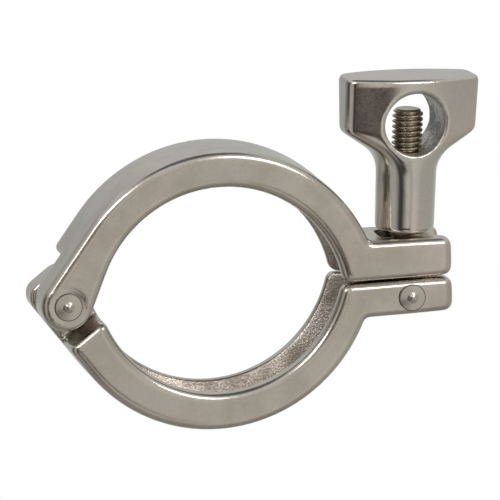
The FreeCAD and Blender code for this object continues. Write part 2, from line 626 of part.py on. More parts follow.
def rivet(name, head_radius, front, back):
    """A pin along Y with a low conical head at both ends.  front and back are where the heads seat."""
    body = make_body(name)
    sketch = make_sketch(body, f"{name}_section", "XY_Plane")
    head, shank, rim = size(head_radius), size("pin_radius"), size("rivet_rim")
    ball, slope = size("rivet_tip_round"), math.radians(size("rivet_slope_angle"))
    y_front, y_back = now(front), now(back)
    tip_centre = rim + head * math.tan(slope) - ball / math.cos(slope)
    front_centre, back_centre = point(0, y_front - tip_centre), point(0, y_back + tip_centre)

    front_tip = add_arc(sketch, front_centre, ball, -math.pi / 2, slope - math.pi / 2)
    front_cone = add_line(sketch, polar(front_centre, ball, slope - math.pi / 2), point(head, y_front - rim))
    front_rim = add_line(sketch, point(head, y_front - rim), point(head, y_front))
    front_seat = add_line(sketch, point(head, y_front), point(shank, y_front))
    side = add_line(sketch, point(shank, y_front), point(shank, y_back))
    back_seat = add_line(sketch, point(shank, y_back), point(head, y_back))
    back_rim = add_line(sketch, point(head, y_back), point(head, y_back + rim))
    back_cone = add_line(sketch, point(head, y_back + rim), polar(back_centre, ball, math.pi / 2 - slope))
    back_tip = add_arc(sketch, back_centre, ball, math.pi / 2 - slope, math.pi / 2)
    axis = add_line(sketch, point(0, y_back + tip_centre + ball), point(0, y_front - tip_centre - ball))
    tangent(sketch, front_tip, END, front_cone, START)
    tangent(sketch, back_cone, END, back_tip, START)
    outline = [front_cone, front_rim, front_seat, side, back_seat, back_rim, back_cone]
    for here, after in zip(outline, outline[1:]):
        join(sketch, here, END, after, START)
    join(sketch, back_tip, END, axis, START)
    join(sketch, axis, END, front_tip, START)
    orient(sketch, "Horizontal", front_seat, back_seat)
    orient(sketch, "Vertical", side, front_rim, back_rim)
    for curve in (front_tip, back_tip):
        sketch.addConstraint(Sketcher.Constraint("PointOnObject", curve, CENTRE, VERTICAL))
    for end_point in (START, END):
        sketch.addConstraint(Sketcher.Constraint("PointOnObject", axis, end_point, VERTICAL))
    bind(sketch, "shankRadius", "Sizes.pin_radius", "DistanceX", ORIGIN, START, side, START, shank)
    for label, seat, end_point in (("frontHead", front_seat, START), ("backHead", back_seat, END)):
        bind(sketch, label, f"Sizes.{head_radius}", "DistanceX", ORIGIN, START, seat, end_point, head)
    for label, curve in (("frontTip", front_tip), ("backTip", back_tip)):
        bind(sketch, label, "Sizes.rivet_tip_round", "Radius", curve, ball)
    for label, line in (("frontRim", front_rim), ("backRim", back_rim)):
        bind(sketch, label, "Sizes.rivet_rim", "DistanceY", line, START, line, END, rim)
    bind(sketch, "frontSlope", "Sizes.rivet_slope_angle * 1 deg", "Angle", front_cone, slope)
    bind(sketch, "backSlope", "180 deg - Sizes.rivet_slope_angle * 1 deg", "Angle", back_cone,
         math.pi - slope)
    bind(sketch, "frontSeat", f"-({front})", "DistanceY", front_seat, START, ORIGIN, START, -y_front)
    bind(sketch, "backSeat", back, "DistanceY", ORIGIN, START, back_seat, START, y_back)
    turn_about(body, "Revolution", "turned", sketch, "Y_Axis")
    return body


def hinge_pin():
    body = rivet("hinge_pin", "hinge_head_radius",
                 "-(Sizes.band_width / 2 - Sizes.recess_depth + Sizes.head_gap)",
                 "Sizes.band_width / 2 + Sizes.head_gap")
    body.setExpression("Placement.Base.x", "Sizes.hinge_x")
    body.setExpression("Placement.Base.z", "Sizes.hinge_z")
    return body


def closed_pivot():
    x, z = from_pin(PIVOT_REACH, pivot_across(), CLOSED_SPLIT)
    return f"Sizes.hinge_x + {x}", f"Sizes.hinge_z + {z}"


def bolt_pin():
    seat = "Sizes.band_width / 2 + Sizes.head_gap"
    body = rivet("bolt_pin", "bolt_head_radius", f"-({seat})", seat)
    x, z = closed_pivot()
    body.setExpression("Placement.Base.x", x)
    body.setExpression("Placement.Base.z", z)
    return body


# ---------------------------------------------------------------- swing bolt

def circle_sketch(body, name, radius, plane="XZ_Plane"):
    sketch = make_sketch(body, name, plane)
    circle = sketch.addGeometry(Part.Circle(point(0, 0), Z_AXIS, now(radius)), False)
    centre_on_origin(sketch, circle)
    bind(sketch, "radius", radius, "Radius", circle, now(radius))
    return sketch


def swing_bolt():
    """An eye with flat sides and the bolt's shank, plain at the thread's full diameter, rising from it."""
    body = make_body("swing_bolt")
    eye = circle_sketch(body, "eye_outline", "Sizes.eye_radius")
    pad(body, "eye", eye, "Sizes.eye_width", Midplane=True)
    shank = circle_sketch(body, "shank_outline", "Sizes.bolt_radius", "XY_Plane")
    pad(body, "shank", shank, "Sizes.bolt_length")
    length = size("bolt_length")
    fillet_edges = [name for name, edge in numbered_edges(body.Tip)
                    if abs(edge.BoundBox.ZMax - length) < PLACE_TOLERANCE
                    and abs(edge.BoundBox.ZMin - length) < PLACE_TOLERANCE]
    base = body.Tip
    tip = body.newObject("PartDesign::Chamfer", "tip_chamfer")
    tip.Base = (base, fillet_edges)
    tip.setExpression("Size", "Sizes.bolt_tip_chamfer")
    doc.recompute()
    hole = circle_sketch(body, "eye_hole_outline", "Sizes.pin_radius + Sizes.pin_clearance")
    cut_through(body, "eye_hole", hole, Midplane=True)
    stand_on_pivot(body, "0")
    return body


def numbered_edges(feature):
    return [(f"Edge{i}", edge) for i, edge in enumerate(feature.Shape.Edges, start=1)]


def stand_on_pivot(body, turn):
    """Puts a piece drawn upright about the bolt pin in its place, turned about the bolt's own axis."""
    x, z = closed_pivot()
    body.setExpression("Placement", (
        f"placement(vector({x}; 0; {z}); rotation(vector(0; 1; 0); Sizes.bolt_lean_angle * 1 deg)"
        f" * rotation(vector(0; 0; 1); ({turn}) * 1 deg))"
    ))
    doc.recompute()


# ---------------------------------------------------------------- wing nut

def head_plan(body):
    """The head from above: two bowed faces between two flat ends."""
    sketch = make_sketch(body, "head_plan", "XY_Plane", lift="Sizes.nut_bottom + Sizes.barrel_round")
    half, end, middle = size("head_half_width"), size("head_end_thickness") / 2, size("head_thickness") / 2
    bow = ((middle - end) ** 2 + half ** 2) / (2 * (middle - end))
    spread = math.asin(half / bow)
    back = add_arc(sketch, point(0, middle - bow), bow, math.pi / 2 - spread, math.pi / 2 + spread)
    left = add_line(sketch, point(-half, end), point(-half, -end))
    front = add_arc(sketch, point(0, bow - middle), bow, -math.pi / 2 - spread, -math.pi / 2 + spread)
    right = add_line(sketch, point(half, -end), point(half, end))
    for side_a, side_b in ((back, left), (left, front), (front, right), (right, back)):
        join(sketch, side_a, END, side_b, START)
    sketch.addConstraint(Sketcher.Constraint("PointOnObject", back, CENTRE, VERTICAL))
    sketch.addConstraint(Sketcher.Constraint("Symmetric", right, START, right, END, HORIZONTAL))
    sketch.addConstraint(Sketcher.Constraint("Symmetric", left, START, left, END, HORIZONTAL))
    bind(sketch, "halfWidth", "Sizes.head_half_width", "DistanceX", ORIGIN, START, right, START, half)
    bind(sketch, "endThickness", "Sizes.head_end_thickness", "DistanceY", right, START, right, END, 2 * end)
    bind(sketch, "bow",
         "(((Sizes.head_thickness - Sizes.head_end_thickness) / 2) ^ 2 + Sizes.head_half_width ^ 2)"
         " / (Sizes.head_thickness - Sizes.head_end_thickness)", "Radius", back, bow)
    sketch.addConstraint(Sketcher.Constraint("Equal", back, front))
    sketch.addConstraint(Sketcher.Constraint("Equal", left, right))
    return sketch


def cut_head_ends(body):
    """Leans both ends of the head outwards towards the top."""
    sketch = make_sketch(body, "head_end_outline")
    half, top, low = size("head_half_width"), size("head_top"), size("nut_bottom")
    lean = math.radians(size("head_draft_angle"))
    foot = half - (top - low) * math.tan(lean)
    beyond = half + now(CLEAR)
    corners = [point(half, top), point(foot, low), point(beyond, low), point(beyond, top)]
    end, bottom, outside, lid = polygon(sketch, corners)
    orient(sketch, "Horizontal", bottom, lid)
    orient(sketch, "Vertical", outside)
    bind(sketch, "halfWidth", "Sizes.head_half_width", "DistanceX", ORIGIN, START, end, START, half)
    bind(sketch, "top", "Sizes.head_top", "DistanceY", ORIGIN, START, end, START, top)
    bind(sketch, "low", "Sizes.nut_bottom", "DistanceY", ORIGIN, START, end, END, low)
    bind(sketch, "foot",
         "Sizes.head_half_width - (Sizes.head_top - Sizes.nut_bottom) * tan(Sizes.head_draft_angle * 1 deg)",
         "DistanceX", ORIGIN, START, end, END, foot)
    bind(sketch, "beyond", f"Sizes.head_half_width + {CLEAR}", "DistanceX", ORIGIN, START, outside, START,
         beyond)
    pocket = cut_through(body, "head_end", sketch, Midplane=True)
    mirrored = body.newObject("PartDesign::Mirrored", "head_ends")
    mirrored.Originals = [pocket]
    mirrored.MirrorPlane = (origin_part(body, "YZ_Plane"), [""])
    body.Tip = mirrored
    doc.recompute()


def cut_neck(body):
    """Turns the underside of the head: a cone that runs down into a concave neck.  Below the neck the head is
    turned thinner than the barrel, which is added round it."""
    sketch = make_sketch(body, "neck_outline")
    radius, neck = size("barrel_top_radius"), size("neck_round")
    slope = math.radians(size("head_slope_angle"))
    reach = size("head_half_width") + now(CLEAR)
    rise = size("head_corner_height") - size("head_half_width") * math.tan(slope)
    touch_r = radius + neck * (1 - math.sin(slope))
    touch_z = rise + touch_r * math.tan(slope)
    centre = point(radius + neck, touch_z - neck * math.cos(slope))
    low, core = size("nut_bottom"), size("barrel_radius") - size("barrel_round")
    flare = add_arc(sketch, centre, neck, math.pi / 2 + slope, math.pi)
    inside = add_line(sketch, point(radius, centre.y), point(core, low))
    bottom = add_line(sketch, point(core, low), point(reach, low))
    outside = add_line(sketch, point(reach, low), point(reach, rise + reach * math.tan(slope)))
    cone = add_line(sketch, point(reach, rise + reach * math.tan(slope)), point(touch_r, touch_z))
    join(sketch, flare, END, inside, START)
    join(sketch, inside, END, bottom, START)
    join(sketch, bottom, END, outside, START)
    join(sketch, outside, END, cone, START)
    tangent(sketch, cone, END, flare, START)
    sketch.addConstraint(Sketcher.Constraint("Horizontal", flare, CENTRE, flare, END))
    orient(sketch, "Vertical", outside)
    orient(sketch, "Horizontal", bottom)
    bind(sketch, "radius", "Sizes.barrel_top_radius", "DistanceX", ORIGIN, START, flare, END, radius)
    bind(sketch, "core", "Sizes.barrel_radius - Sizes.barrel_round", "DistanceX", ORIGIN, START, inside, END,
         core)
    bind(sketch, "low", "Sizes.nut_bottom", "DistanceY", ORIGIN, START, inside, END, low)
    bind(sketch, "reach", f"Sizes.head_half_width + {CLEAR}", "DistanceX", ORIGIN, START, outside, END, reach)
    bind(sketch, "neck", "Sizes.neck_round", "Radius", flare, neck)
    bind(sketch, "slope", "Sizes.head_slope_angle * 1 deg + 180 deg", "Angle", cone, slope + math.pi)
    bind(sketch, "rise", f"Sizes.head_corner_height + {CLEAR} * tan(Sizes.head_slope_angle * 1 deg)",
         "DistanceY", ORIGIN, START, outside, END, rise + reach * math.tan(slope))
    turn_about(body, "Groove", "neck", sketch, "Z_Axis")


# heights over the bolt pin: where the barrel runs into the neck, and the barrel's top inside the head
NECK_HEIGHT = ("(Sizes.head_corner_height - (Sizes.head_half_width - Sizes.barrel_top_radius"
               " - Sizes.neck_round * (1 - sin(Sizes.head_slope_angle * 1 deg)))"
               " * tan(Sizes.head_slope_angle * 1 deg)"
               " - Sizes.neck_round * cos(Sizes.head_slope_angle * 1 deg))")
BARREL_TOP = f"({NECK_HEIGHT} + Sizes.neck_round / 2)"


def add_barrel(body):
    """The barrel, slightly wider towards the neck, and its straight continuation inside the head."""
    sketch = make_sketch(body, "barrel_section")
    low, foot, top_radius = size("nut_bottom"), size("barrel_radius"), size("barrel_top_radius")
    neck, top = now(NECK_HEIGHT), now(BARREL_TOP)
    corners = [point(0, low), point(foot, low), point(top_radius, neck),
               point(top_radius, top), point(0, top)]
    base, side, upright, lid, axis = polygon(sketch, corners)
    orient(sketch, "Horizontal", base, lid)
    orient(sketch, "Vertical", upright)
    for end_point in (START, END):
        sketch.addConstraint(Sketcher.Constraint("PointOnObject", axis, end_point, VERTICAL))
    bind(sketch, "low", "Sizes.nut_bottom", "DistanceY", ORIGIN, START, base, START, low)
    bind(sketch, "neck", NECK_HEIGHT, "DistanceY", ORIGIN, START, side, END, neck)
    bind(sketch, "top", BARREL_TOP, "DistanceY", ORIGIN, START, lid, START, top)
    bind(sketch, "foot", "Sizes.barrel_radius", "DistanceX", ORIGIN, START, base, END, foot)
    bind(sketch, "topRadius", "Sizes.barrel_top_radius", "DistanceX", ORIGIN, START, side, END, top_radius)
    turn_about(body, "Revolution", "barrel", sketch, "Z_Axis")


def edge_at_height(edge, low, high):
    return low - PLACE_TOLERANCE < edge.BoundBox.ZMin and edge.BoundBox.ZMax < high + PLACE_TOLERANCE


def is_rim(edge):
    """True for an edge of the cone's rim, where it meets the faces and the ends of the head."""
    middle = edge.valueAt((edge.FirstParameter + edge.LastParameter) / 2)
    return math.hypot(middle.x, middle.y) > size("barrel_top_radius") + 0.2


def is_upright(edge):
    """True for an edge that climbs steeply, whatever its curve is."""
    box = edge.BoundBox
    return box.ZLength > 2 * max(box.XLength, box.YLength)


def wing_nut():
    """A cast nut: a round barrel that flares into a flat T head with a window through it."""
    body = make_body("wing_nut")
    pad(body, "head", head_plan(body), "Sizes.head_top - Sizes.nut_bottom - Sizes.barrel_round")
    cut_head_ends(body)
    fillet(body, "end_round", is_upright, "Sizes.head_end_round")
    top = size("head_top")
    cut_neck(body)
    rim_low = size("nut_bottom") + size("neck_round")
    rim_high = (size("head_corner_height") + top) / 2
    fillet(body, "under_round", lambda edge: not is_upright(edge) and edge_at_height(edge, rim_low, rim_high)
           and is_rim(edge), "Sizes.head_under_round")
    fillet(body, "top_round", lambda edge: edge_at_height(edge, top, top), "Sizes.head_edge_round")
    add_barrel(body)
    low = size("nut_bottom")
    fillet(body, "barrel_end", lambda edge: edge_at_height(edge, low, low), "Sizes.barrel_round")
    bore = make_sketch(body, "bore_outline", "XY_Plane", lift="Sizes.nut_bottom")
    circle = bore.addGeometry(Part.Circle(point(0, 0), Z_AXIS, size("bolt_radius")), False)
    centre_on_origin(bore, circle)
    bind(bore, "radius", "Sizes.bolt_radius + Sizes.bore_clearance", "Radius", circle,
         size("bolt_radius") + size("bore_clearance"))
    add_feature(body, "Pocket", "bore", bore, {"Length": f"{WINDOW_HEIGHT} - Sizes.nut_bottom"},
                Reversed=True)
    cut_hole(body, "window", "Sizes.window_radius", "0", WINDOW_HEIGHT)
    stand_on_pivot(body, "Sizes.nut_turn_angle")
    return body


# ---------------------------------------------------------------- build

def check(pieces):
    """Stops unless every feature is computed and every piece is one valid solid."""
    doc.recompute()
    for item in doc.Objects:
        if "Invalid" in item.State or "Error" in item.State:
            raise RuntimeError(f"{item.Name} is not computed: {item.getStatusString()}")
        if item.TypeId == "Sketcher::SketchObject" and item.solve() != 0:
            raise RuntimeError(f"{item.Name} can't be solved")
    for piece in pieces:
        if piece.Shape.isNull() or not piece.Shape.isValid() or len(piece.Shape.Solids) != 1:
            raise RuntimeError(f"{piece.Label} is not one valid solid")


pieces = [upper_half(), lower_half(), hinge_pin(), bolt_pin(), swing_bolt(), wing_nut()]
check(pieces)
os.makedirs("parts", exist_ok=True)
for piece in pieces:
    piece.Shape.exportStep(f"parts/{piece.Label}.step")
    box = piece.Shape.BoundBox
    print(f"{piece.Label}: {piece.Shape.Volume:.0f} mm3, X {box.XMin:.2f}..{box.XMax:.2f}, "
          f"Y {box.YMin:.2f}..{box.YMax:.2f}, Z {box.ZMin:.2f}..{box.ZMax:.2f}")
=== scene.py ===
import json
import math

import bpy
import numpy as np
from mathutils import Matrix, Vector


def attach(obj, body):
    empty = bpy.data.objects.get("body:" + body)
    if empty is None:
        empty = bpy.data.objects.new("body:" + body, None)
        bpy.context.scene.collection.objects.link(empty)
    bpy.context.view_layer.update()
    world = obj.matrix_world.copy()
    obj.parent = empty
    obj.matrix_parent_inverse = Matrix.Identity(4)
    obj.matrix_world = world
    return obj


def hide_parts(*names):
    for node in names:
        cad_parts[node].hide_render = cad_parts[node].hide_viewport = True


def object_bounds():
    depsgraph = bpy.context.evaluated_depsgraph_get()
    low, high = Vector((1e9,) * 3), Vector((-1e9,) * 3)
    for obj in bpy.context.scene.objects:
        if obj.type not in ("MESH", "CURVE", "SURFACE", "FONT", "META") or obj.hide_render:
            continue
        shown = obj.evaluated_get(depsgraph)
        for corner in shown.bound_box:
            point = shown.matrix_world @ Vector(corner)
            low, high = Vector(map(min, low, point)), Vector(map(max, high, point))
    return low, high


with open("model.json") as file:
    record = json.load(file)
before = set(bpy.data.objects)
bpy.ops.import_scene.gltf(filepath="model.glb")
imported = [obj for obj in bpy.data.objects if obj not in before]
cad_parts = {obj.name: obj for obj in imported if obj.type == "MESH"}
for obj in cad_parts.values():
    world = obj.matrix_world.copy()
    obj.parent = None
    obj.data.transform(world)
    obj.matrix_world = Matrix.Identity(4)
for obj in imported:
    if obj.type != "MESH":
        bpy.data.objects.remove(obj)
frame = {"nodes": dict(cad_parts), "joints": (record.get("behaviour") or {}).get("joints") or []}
cadLow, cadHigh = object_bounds()
print("frame loaded:", len(frame["nodes"]), "nodes")

mm = 0.001
nodes = frame["nodes"]
joints = {joint["name"]: joint for joint in frame["joints"]}
hingePoint = np.array(joints["hinge_open"]["pos_m"])
boltPivot = np.array(joints["bolt_swing"]["pos_m"])
boltAxis = np.array(joints["nut_travel"]["axis"])         # up the bolt
boltAcross = np.array([boltAxis[2], 0, -boltAxis[0]])     # square to the bolt, away from the hinge
tubeAxis = np.array([0, 1, 0])


# Short calls that add nodes to one tree and wire them.  A source is a socket or a fixed value.
class NodeNet:
    def __init__(self, tree):
        self.tree = tree

    # A new node with these settings.
    def add(self, kind, **settings):
        node = self.tree.nodes.new(kind)
        for name, value in settings.items():
            setattr(node, name, value)
        return node

    # A link from a socket, or the value itself; None leaves the input alone.
    def feed(self, socket, source):
        if isinstance(source, bpy.types.NodeSocket):
            self.tree.links.new(source, socket)
        elif source is not None:
            socket.default_value = source

    # The operation on one or two numbers.
    def math(self, operation, a, b=None, clamp=False):
        node = self.add("ShaderNodeMath", operation=operation, use_clamp=clamp)
        self.feed(node.inputs[0], a)
        self.feed(node.inputs[1], b)
        return node.outputs[0]

    # The operation on one or two vectors; a length is a number.
    def vector(self, operation, a, b=None):
        node = self.add("ShaderNodeVectorMath", operation=operation)
        self.feed(node.inputs[0], a)
        self.feed(node.inputs[1], b)
        return node.outputs["Value" if operation == "LENGTH" else "Vector"]

    # x, y and z of a vector.
    def split(self, vector):
        node = self.add("ShaderNodeSeparateXYZ")
        self.feed(node.inputs[0], vector)
        return node.outputs

    # The point on the object, from its origin.
    def objectPlace(self):
        return self.add("ShaderNodeTexCoord").outputs["Object"]

    # From a line along Y through the centre: the distance, the root of x squared plus z squared, and y.
    def aroundTube(self, centre):
        x, y, z = self.split(self.vector("SUBTRACT", self.objectPlace(), tuple(centre)))
        flat = self.add("ShaderNodeCombineXYZ")
        self.feed(flat.inputs[0], x)
        self.feed(flat.inputs[2], z)
        return self.vector("LENGTH", flat.outputs[0]), y

    # Noise from 0 to 1, mostly near a half.
    def noise(self, vector, scale, detail, roughness):
        node = self.add("ShaderNodeTexNoise")
        values = {"Vector": vector, "Scale": scale, "Detail": detail, "Roughness": roughness}
        for name, value in values.items():
            self.feed(node.inputs[name], value)
        return node.outputs["Fac"]

    # 0 at the first limit and 1 at the second, whichever is higher, with an eased or a straight rise.
    def ramp(self, value, zeroAt, oneAt, linear=False):
        node = self.add("ShaderNodeMapRange", interpolation_type="LINEAR" if linear else "SMOOTHSTEP")
        for socket, source in zip(node.inputs, (value, zeroAt, oneAt)):
            self.feed(socket, source)
        return node.outputs[0]

    # Colour a blended with b by the factor.
    def mixColour(self, factor, a, b, blend="MIX"):
        node = self.add("ShaderNodeMix", data_type="RGBA", blend_type=blend)
        self.feed(node.inputs["Factor"], factor)
        self.feed(node.inputs[6], a)
        self.feed(node.inputs[7], b)
        return node.outputs[2]

    # a * (1 - factor) + b * factor.
    def mix(self, factor, a, b):
        node = self.add("ShaderNodeMix", data_type="FLOAT")
        self.feed(node.inputs["Factor"], factor)
        self.feed(node.inputs[2], a)
        self.feed(node.inputs[3], b)
        return node.outputs[0]

    # A node group with its own values.
    def group(self, tree, **inputs):
        node = self.add("ShaderNodeGroup", node_tree=tree)
        for name, value in inputs.items():
            self.feed(node.inputs[name], value)
        return node.outputs


# An empty node group with named inputs, each with its kind and default, and named outputs.
def newGroup(name, inputs, outputs):
    tree = bpy.data.node_groups.new(name, "ShaderNodeTree")
    for socketName, kind, default in inputs:
        socket = tree.interface.new_socket(socketName, in_out="INPUT", socket_type=f"NodeSocket{kind}")
        socket.default_value = default
    for socketName, kind in outputs:
        tree.interface.new_socket(socketName, in_out="OUTPUT", socket_type=f"NodeSocket{kind}")
    net = NodeNet(tree)
    return tree, net, net.add("NodeGroupInput").outputs, net.add("NodeGroupOutput").inputs


# The emptied node tree of a material or of the world.
def emptyNet(owner):
    owner.use_nodes = True
    owner.node_tree.nodes.clear()
    return NodeNet(owner.node_tree)


# A new object that shows this mesh, lamp or camera.
def putInScene(name, data):
    thing = bpy.data.objects.new(name, data)
    bpy.context.scene.collection.objects.link(thing)
    return thing


# In both skins a noise is its scale per metre, its detail and its roughness, and the grain and the lumps
# have their scale from the piece.  A span says where a mask is 0 and where it is 1.
castPattern = {
    "drift": (70.0, 3.0, 0.5), "cloud": (260.0, 4.0, 0.6), "cloudShare": 0.35, "stainSpan": (0.52, 0.9),
    "tint": (48.0, 2.0, 0.5), "tintSpan": (0.36, 0.64),
    "grain": (3.0, 0.65), "poreSpan": (0.52, 0.3),
    "wave": (110.0, 2.0, 0.4),
    "twiceMean": 1.0,      # what two noises add up to on average
}


# Cast and polished stainless.  Its colour is the tone times a tint that drifts over centimetres, then
# stained where drift plus a share of cloud is high, and in the pores.  Its roughness is the base plus the
# drift amount times (cloud + grain - 1), and its height is wave and grain, each times its own height.
def castSteelGroup(pattern):
    tree, net, given, out = newGroup("CastSteel", [
        ("Tone", "Color", (0.6, 0.58, 0.55, 1)),
        ("Warm Tint", "Color", (1.03, 0.985, 0.97, 1)),
        ("Cool Tint", "Color", (0.96, 0.985, 0.965, 1)),
        ("Stain", "Color", (0.45, 0.4, 0.34, 1)),
        ("Stain Amount", "Float", 0.3),
        ("Pores", "Float", 0.2),
        ("Roughness", "Float", 0.3),
        ("Roughness Drift", "Float", 0.08),
        ("Wave Height", "Float", 0.02),
        ("Grain Height", "Float", 0.004),
        ("Grain Scale", "Float", 1800.0),
    ], [("Color", "Color"), ("Roughness", "Float"), ("Height", "Float")])
    place = net.objectPlace()
    drift = net.noise(place, *pattern["drift"])
    cloud = net.noise(place, *pattern["cloud"])
    grain = net.noise(place, given["Grain Scale"], *pattern["grain"])
    wave = net.noise(place, *pattern["wave"])
    mottle = net.math("ADD", drift, net.math("MULTIPLY", cloud, pattern["cloudShare"]))
    stained = net.math("MULTIPLY", net.ramp(mottle, *pattern["stainSpan"]), given["Stain Amount"])
    warmth = net.ramp(net.noise(place, *pattern["tint"]), *pattern["tintSpan"])
    tint = net.mixColour(warmth, given["Cool Tint"], given["Warm Tint"])
    tinted = net.mixColour(1.0, given["Tone"], tint, "MULTIPLY")
    colour = net.mixColour(stained, tinted, given["Stain"])
    pores = net.math("MULTIPLY", net.ramp(grain, *pattern["poreSpan"]), given["Pores"])
    net.feed(out["Color"], net.mixColour(pores, colour, given["Stain"]))
    swing = net.math("SUBTRACT", net.math("ADD", cloud, grain), pattern["twiceMean"])
    swing = net.math("MULTIPLY", swing, given["Roughness Drift"])
    net.feed(out["Roughness"], net.math("ADD", given["Roughness"], swing, clamp=True))
    waves = net.math("MULTIPLY", wave, given["Wave Height"])
    net.feed(out["Height"], net.math("ADD", waves, net.math("MULTIPLY", grain, given["Grain Height"])))
    return tree


roughPattern = {
    "lump": (4.0, 0.6), "patch": (120.0, 3.0, 0.5), "patchShare": 0.9,
    "pitSpan": (1.02, 0.78), "pitColour": 0.55, "pitRoughness": 0.15,
    "glint": (3600.0, 2.0, 0.7), "glintSpan": (0.53, 0.66), "patchSpan": (0.42, 0.6),
}


# As-cast skin, left where the polishing wheel doesn't reach.  It is pitted where lump plus a share of patch
# is low, and it has painted highlights, spots of the glint tone, where a fine glint noise and the patch are
# both high.  Its height is the lumps.
def roughSkinAndGlintsGroup(pattern):
    tree, net, given, out = newGroup("RoughSkinAndGlints", [
        ("Tone", "Color", (0.6, 0.55, 0.5, 1)),
        ("Pit Tone", "Color", (0.3, 0.25, 0.2, 1)),
        ("Painted Glint Tone", "Color", (0.95, 0.88, 0.84, 1)),
        ("Roughness", "Float", 0.42),
        ("Lump Height", "Float", 0.1),
        ("Lump Scale", "Float", 900.0),
    ], [("Color", "Color"), ("Roughness", "Float"), ("Height", "Float")])
    place = net.objectPlace()
    lump = net.noise(place, given["Lump Scale"], *pattern["lump"])
    patch = net.noise(place, *pattern["patch"])
    relief = net.math("ADD", lump, net.math("MULTIPLY", patch, pattern["patchShare"]))
    pits = net.ramp(relief, *pattern["pitSpan"])
    # Painted highlights: spots of a lighter tone laid on as colour where the fine noise and the patch are
    # both high.
    glintSpots = net.ramp(net.noise(place, *pattern["glint"]), *pattern["glintSpan"])
    paintedGlints = net.math("MULTIPLY", glintSpots, net.ramp(patch, *pattern["patchSpan"]))
    pitted = net.math("MULTIPLY", pits, pattern["pitColour"])
    colour = net.mixColour(pitted, given["Tone"], given["Pit Tone"])
    net.feed(out["Color"], net.mixColour(paintedGlints, colour, given["Painted Glint Tone"]))
    rougher = net.math("MULTIPLY", pits, pattern["pitRoughness"])
    net.feed(out["Roughness"], net.math("ADD", given["Roughness"], rougher))
    net.feed(out["Height"], net.math("MULTIPLY", lump, given["Lump Height"]))
    return tree


castSteel = castSteelGroup(castPattern)
roughSkinAndGlints = roughSkinAndGlintsGroup(roughPattern)


# One metal surface: polished skin everywhere, and rough skin with painted glints, and on the rivets painted
# shade, where the mask is 1, so that colour, roughness and height are each skin * (1 - mask) +
# sandAndPaintedLight * mask.  Heights are in mm.
def metal(name, finish, mask=None):
    material = bpy.data.materials.new(name)
    net = emptyNet(material)
    shader = net.add("ShaderNodeBsdfPrincipled")
    shader.inputs["Metallic"].default_value = 1.0
    skin = net.group(castSteel, **finish["skin"])
    colour, rough, height = skin["Color"], skin["Roughness"], skin["Height"]
    if mask is not None:
        inside = mask(net)
        sandAndPaintedLight = net.group(roughSkinAndGlints, **finish["sandAndPaintedLight"])
        colour = net.mixColour(inside, colour, sandAndPaintedLight["Color"])
        rough = net.mix(inside, rough, sandAndPaintedLight["Roughness"])
        height = net.mix(inside, height, sandAndPaintedLight["Height"])
    bump = net.add("ShaderNodeBump")
    bump.inputs["Strength"].default_value = finish["bump"]
    bump.inputs["Distance"].default_value = mm
    net.feed(bump.inputs["Height"], height)
    net.feed(shader.inputs["Base Color"], colour)
    net.feed(shader.inputs["Roughness"], rough)
    net.feed(shader.inputs["Normal"], bump.outputs[0])
    output = net.add("ShaderNodeOutputMaterial")
    net.feed(output.inputs["Surface"], shader.outputs[0])
    return material


# The node's own mesh gets this material alone.
def dress(node, material):
    nodes[node].data.materials.clear()
    nodes[node].data.materials.append(material)


# A mesh from a grid of points, closed round its second index, and either round its first or with a lid on
# its first and last row.  The sign of the volume that it encloses, a sum of triple products, turns its faces
# outwards.
def gridMesh(name, points, material, closeRows=False):
    rows, columns = points.shape[:2]
    index = np.arange(rows * columns).reshape(rows, columns)
    lids = [] if closeRows else [index[0][::-1], index[-1]]
    if closeRows:
        index = np.concatenate([index, index[:1]])
    after = np.roll(index, -1, axis=1)
    quads = np.stack([index[:-1], after[:-1], after[1:], index[1:]], axis=-1).reshape(-1, 4)
    flat = points.reshape(-1, 3)
    a, b, c, d = np.moveaxis((flat - points.mean(axis=(0, 1)))[quads], 1, 0)
    if np.sum(a * (np.cross(b, c) + np.cross(c, d))) < 0:
        quads, lids = quads[:, ::-1], [lid[::-1] for lid in lids]
    corners = np.concatenate([quads.ravel(), *lids])
    starts = np.concatenate([np.arange(0, quads.size, 4), quads.size + columns * np.arange(len(lids))])
    mesh = bpy.data.meshes.new(name)
    mesh.vertices.add(len(flat))
    mesh.vertices.foreach_set("co", flat.ravel().astype(np.float32))
    mesh.loops.add(len(corners))
    mesh.loops.foreach_set("vertex_index", corners.astype(np.int32))
    mesh.polygons.add(len(starts))
    mesh.polygons.foreach_set("loop_start", starts.astype(np.int32))
    mesh.polygons.foreach_set("use_smooth", np.ones(len(starts), bool))
    mesh.update(calc_edges=True)
    mesh.validate()
    mesh.materials.append(material)
    return putInScene(name, mesh)


# Mean of each vertex's neighbours: their sum over the list of edges, divided by their count.
def neighbourMean(points, edges, counts):
    total = np.stack([
        np.bincount(edges[:, 0], points[edges[:, 1], k], len(points))
        + np.bincount(edges[:, 1], points[edges[:, 0], k], len(points)) for k in range(3)], axis=-1)
    return total / counts[:, None]


# Each point moved by a share of the way to its neighbours' mean: point + share * (mean - point).
def relax(points, edges, counts, share):
    return points + share * (neighbourMean(points, edges, counts) - points)


# How all castings are softened: a share of the way in and a smaller one back out in each round, then a few
# plain rounds.  The ground share is how far a place of full weight moves in one of its own rounds.
softening = {
    "weld": 0.001, "inwards": 0.6, "outwards": -0.45, "plainRounds": 3, "plainShare": 0.5, "groundShare": 0.5,
}


